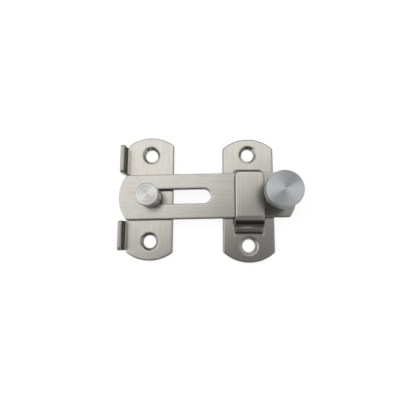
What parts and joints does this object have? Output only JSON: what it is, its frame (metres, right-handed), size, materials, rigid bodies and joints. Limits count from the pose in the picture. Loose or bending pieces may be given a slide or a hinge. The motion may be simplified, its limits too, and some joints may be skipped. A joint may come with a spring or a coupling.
{
  "type": "straight slide bolt",
  "caption": "Stamped steel door bolt: a slotted bar with a pull knob swings and slides on a stud on the base plate and drops into a hook on a separate keeper plate.",
  "frame": {"origin": "midway between the base plate's two screw holes, on the plate's back face", "axes": "+X along the bolt towards its knob, +Y up the plates, +Z out of the mounting surface"},
  "size_m": [0.0858, 0.0617, 0.0227],
  "materials": {
    "base_steel": "satin, brushed along the plate",
    "keeper_steel": "satin, brushed along the plate",
    "stud_steel": "fine turned face",
    "bolt_steel": "satin, brushed along the bar",
    "knob_steel": "turned face with rings"
  },
  "bodies": {
    "mounted_plates": {"base_plate": "base_steel", "keeper_plate": "keeper_steel"},
    "pivot": {"pivot_stud": "stud_steel"},
    "bolt": {"bolt_bar": "bolt_steel", "pull_knob": "knob_steel"}
  },
  "joints": [
    {"name": "bolt_swing", "type": "hinge", "parent": "mounted_plates", "child": "pivot", "pos_m": [0.00055, 0, 0], "axis": [0, 0, 1], "range_deg": [0, 91]},
    {"name": "bolt_slide", "type": "slide", "parent": "pivot", "child": "bolt", "axis": [0.9997, 0.0227, 0], "range_m": [-0.0006, 0.0029]}
  ]
}
